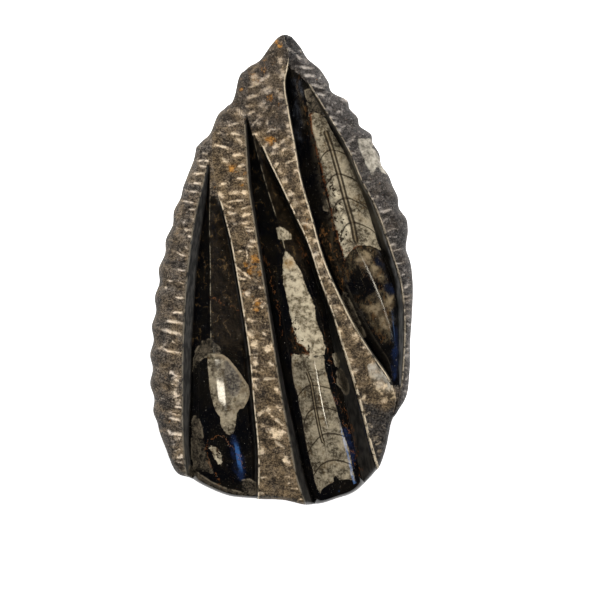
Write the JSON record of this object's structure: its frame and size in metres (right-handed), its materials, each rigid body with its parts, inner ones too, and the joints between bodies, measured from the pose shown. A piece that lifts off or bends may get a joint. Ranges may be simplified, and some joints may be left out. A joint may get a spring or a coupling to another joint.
{
  "type": "orthoceras fossil",
  "caption": "Carved dark limestone slab, pointed at the head, with three straight conical orthoceras fossils standing in ground channels between rough ridges.",
  "frame": {"origin": "middle of the outline's box, on the flat sawn back", "axes": "+Z out of the carved face, +Y towards the pointed head, +X to the right as seen from above the carved face"},
  "size_m": [0.1677, 0.3004, 0.0393],
  "materials": {
    "limestone": "chiselled ridges and rim, ground and polished channels"
  },
  "bodies": {
    "root": {"fossil_slab": "limestone"}
  },
  "joints": []
}
